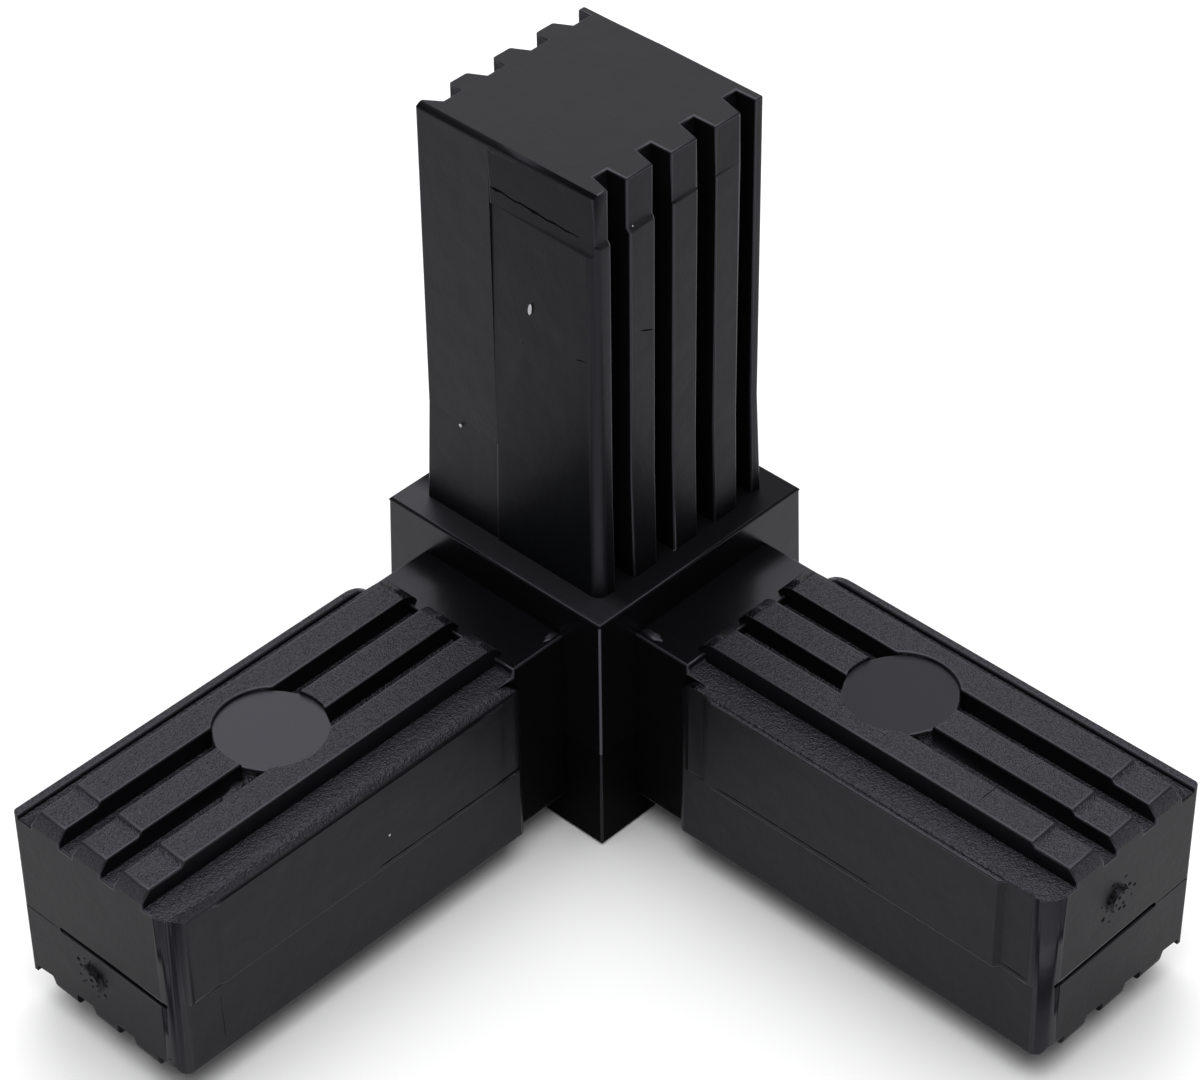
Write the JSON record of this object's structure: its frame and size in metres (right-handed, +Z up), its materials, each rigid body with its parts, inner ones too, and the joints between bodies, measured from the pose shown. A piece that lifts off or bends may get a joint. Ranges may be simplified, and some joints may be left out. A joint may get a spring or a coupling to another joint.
{
  "type": "three way corner connector",
  "caption": "Moulded plastic corner connector that joins square tubes at right angles: a cube hub with ribbed push-in legs.",
  "frame": {"origin": "centre of the hub's bottom face, on the axis of the upright leg", "axes": "+Z up along the upright leg, +X and +Y along the level legs"},
  "size_m": [0.0711, 0.0711, 0.0654],
  "materials": {
    "black_nylon": "injection moulded black nylon: fine spark-eroded texture on the rib tops, plain sides, glossier hub"
  },
  "bodies": {
    "root": {"connector_body": "black_nylon"}
  },
  "joints": []
}
